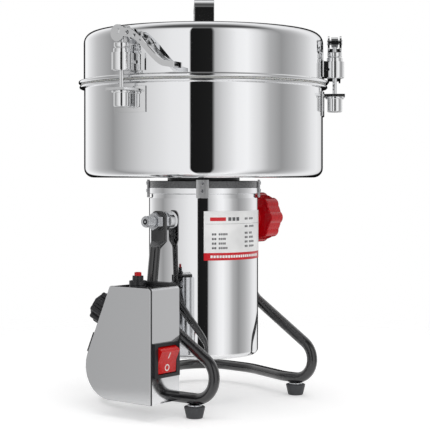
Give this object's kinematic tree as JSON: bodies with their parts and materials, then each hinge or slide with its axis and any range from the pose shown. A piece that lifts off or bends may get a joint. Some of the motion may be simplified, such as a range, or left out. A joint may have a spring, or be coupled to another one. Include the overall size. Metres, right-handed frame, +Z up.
{
  "type": "electric grain mill",
  "caption": "Tilting electric grain mill: round steel bowl with clamped lid on a motor can, hung in a bent tube stand with a control box on one leg.",
  "frame": {"origin": "on the floor, under the mill's vertical axis", "axes": "+Z up, +X towards the red lock knob, -Y towards the front, which the mill tips to"},
  "size_m": [0.3232, 0.3292, 0.471],
  "materials": {
    "black_tube": "gloss black paint",
    "rubber": "matt rubber",
    "zinc": "bright zinc plate",
    "polished_steel": "mirror-polished stainless steel",
    "brushed_steel": "satin stainless steel",
    "black_plastic": "gloss black plastic",
    "red_plastic": "gloss red plastic",
    "cast_alloy": "cast and machined",
    "white_label": "printed film",
    "red_label": "printed film",
    "brass": "turned brass",
    "lamination": "stacked steel laminations",
    "copper": "enamelled copper",
    "carbon": "pressed carbon",
    "seal_rubber": "moulded rubber",
    "silicone": "white silicone"
  },
  "bodies": {
    "stand": {"stand_tube": "black_tube", "feet": "rubber", "foot_washers": "zinc", "box_shell": "polished_steel", "box_cover": "polished_steel", "box_clamp": "black_tube", "box_screws": "zinc", "switch_frame": "black_plastic", "timer_body": "black_plastic", "power_inlet": "black_plastic", "inlet_pins": "brass", "breaker_body": "black_plastic"},
    "rocker": {"rocker": "red_plastic"},
    "timer": {"timer_spindle": "zinc", "timer_knob": "black_plastic"},
    "reset": {"reset_button": "red_plastic"},
    "mill": {"motor_can": "polished_steel", "top_cover": "cast_alloy", "isolation_ring": "seal_rubber", "neck_plate": "brushed_steel", "cover_lugs": "brushed_steel", "lug_screws": "zinc", "label_plate": "white_label", "label_band": "red_label", "pivot_bosses": "zinc", "pivot_bolts": "zinc", "pivot_nuts": "zinc", "pivot_washer": "zinc", "stator_core": "lamination", "field_coils": "copper", "lower_bridge": "cast_alloy", "bearings": "brushed_steel", "brush_holders": "brass", "brushes": "carbon", "bowl": "polished_steel", "shaft_seal": "seal_rubber", "lower_brackets": "brushed_steel", "latch_cups": "polished_steel"},
    "knob": {"tilt_knob": "red_plastic", "knob_insert": "brass"},
    "rotor": {"shaft": "brushed_steel", "armature_core": "lamination", "armature_windings": "copper", "commutator": "copper", "cooling_fan": "cast_alloy", "blade_collars": "brushed_steel", "lower_blade": "brushed_steel", "upper_blade": "brushed_steel", "blade_nut": "brushed_steel"},
    "lid": {"lid_shell": "polished_steel", "lid_gasket": "silicone", "lid_handle": "brushed_steel", "lid_fittings": "brushed_steel", "clamp_barrels": "polished_steel"},
    "rod_1": {"clamp_rod_1": "brushed_steel"},
    "lever_1": {"clamp_lever_1": "polished_steel"},
    "rod_2": {"clamp_rod_2": "brushed_steel"},
    "lever_2": {"clamp_lever_2": "polished_steel"},
    "rod_3": {"clamp_rod_3": "brushed_steel"},
    "lever_3": {"clamp_lever_3": "polished_steel"}
  },
  "joints": [
    {"name": "mill_tilt", "type": "hinge", "parent": "stand", "child": "mill", "pos_m": [0, 0, 0.215], "axis": [1, 0, 0], "range_deg": [0, 85]},
    {"name": "lock_knob_turn", "type": "hinge", "parent": "mill", "child": "knob", "pos_m": [0.1, 0, 0.215], "axis": [1, 0, 0], "continuous": true},
    {"name": "blade_spin", "type": "hinge", "parent": "mill", "child": "rotor", "pos_m": [0, 0, 0.3], "axis": [0, 0, 1], "continuous": true},
    {"name": "lid_lift", "type": "slide", "parent": "mill", "child": "lid", "axis": [0, 0, 1], "range_m": [0, 0.16]},
    {"name": "rocker_press", "type": "hinge", "parent": "stand", "child": "rocker", "pos_m": [-0.126, -0.046, 0.066], "axis": [1, 0, 0], "range_deg": [-28, 0]},
    {"name": "timer_turn", "type": "hinge", "parent": "stand", "child": "timer", "pos_m": [-0.12725, 0.02658, 0.11], "axis": [0, 0.9135, 0.4067], "range_deg": [-300, 0]},
    {"name": "reset_press", "type": "slide", "parent": "stand", "child": "reset", "axis": [0, 0, -1], "range_m": [0, 0.003], "stiffness_N_per_m": 300},
    {"name": "rod_1_drop", "type": "slide", "parent": "lid", "child": "rod_1", "axis": [0, 0, 1], "range_m": [-0.002, 0]},
    {"name": "lever_1_open", "type": "hinge", "parent": "rod_1", "child": "lever_1", "pos_m": [-0.15562, -0.01088, 0.425], "axis": [-0.9976, -0.0698, 0], "range_deg": [0, 110]},
    {"name": "rod_2_drop", "type": "slide", "parent": "lid", "child": "rod_2", "axis": [0, 0, 1], "range_m": [-0.002, 0]},
    {"name": "lever_2_open", "type": "hinge", "parent": "rod_2", "child": "lever_2", "pos_m": [0.08723, -0.12933, 0.425], "axis": [0.5592, -0.829, 0], "range_deg": [0, 110]},
    {"name": "rod_3_drop", "type": "slide", "parent": "lid", "child": "rod_3", "axis": [0, 0, 1], "range_m": [-0.002, 0]},
    {"name": "lever_3_open", "type": "hinge", "parent": "rod_3", "child": "lever_3", "pos_m": [0.06839, 0.14021, 0.425], "axis": [0.4384, 0.8988, 0], "range_deg": [0, 110]}
  ],
  "couplings": [
    {"joint": "rod_1_drop", "follows": "lever_1_open", "m_per_rad": -0.00104},
    {"joint": "rod_2_drop", "follows": "lever_2_open", "m_per_rad": -0.00104},
    {"joint": "rod_3_drop", "follows": "lever_3_open", "m_per_rad": -0.00104}
  ]
}
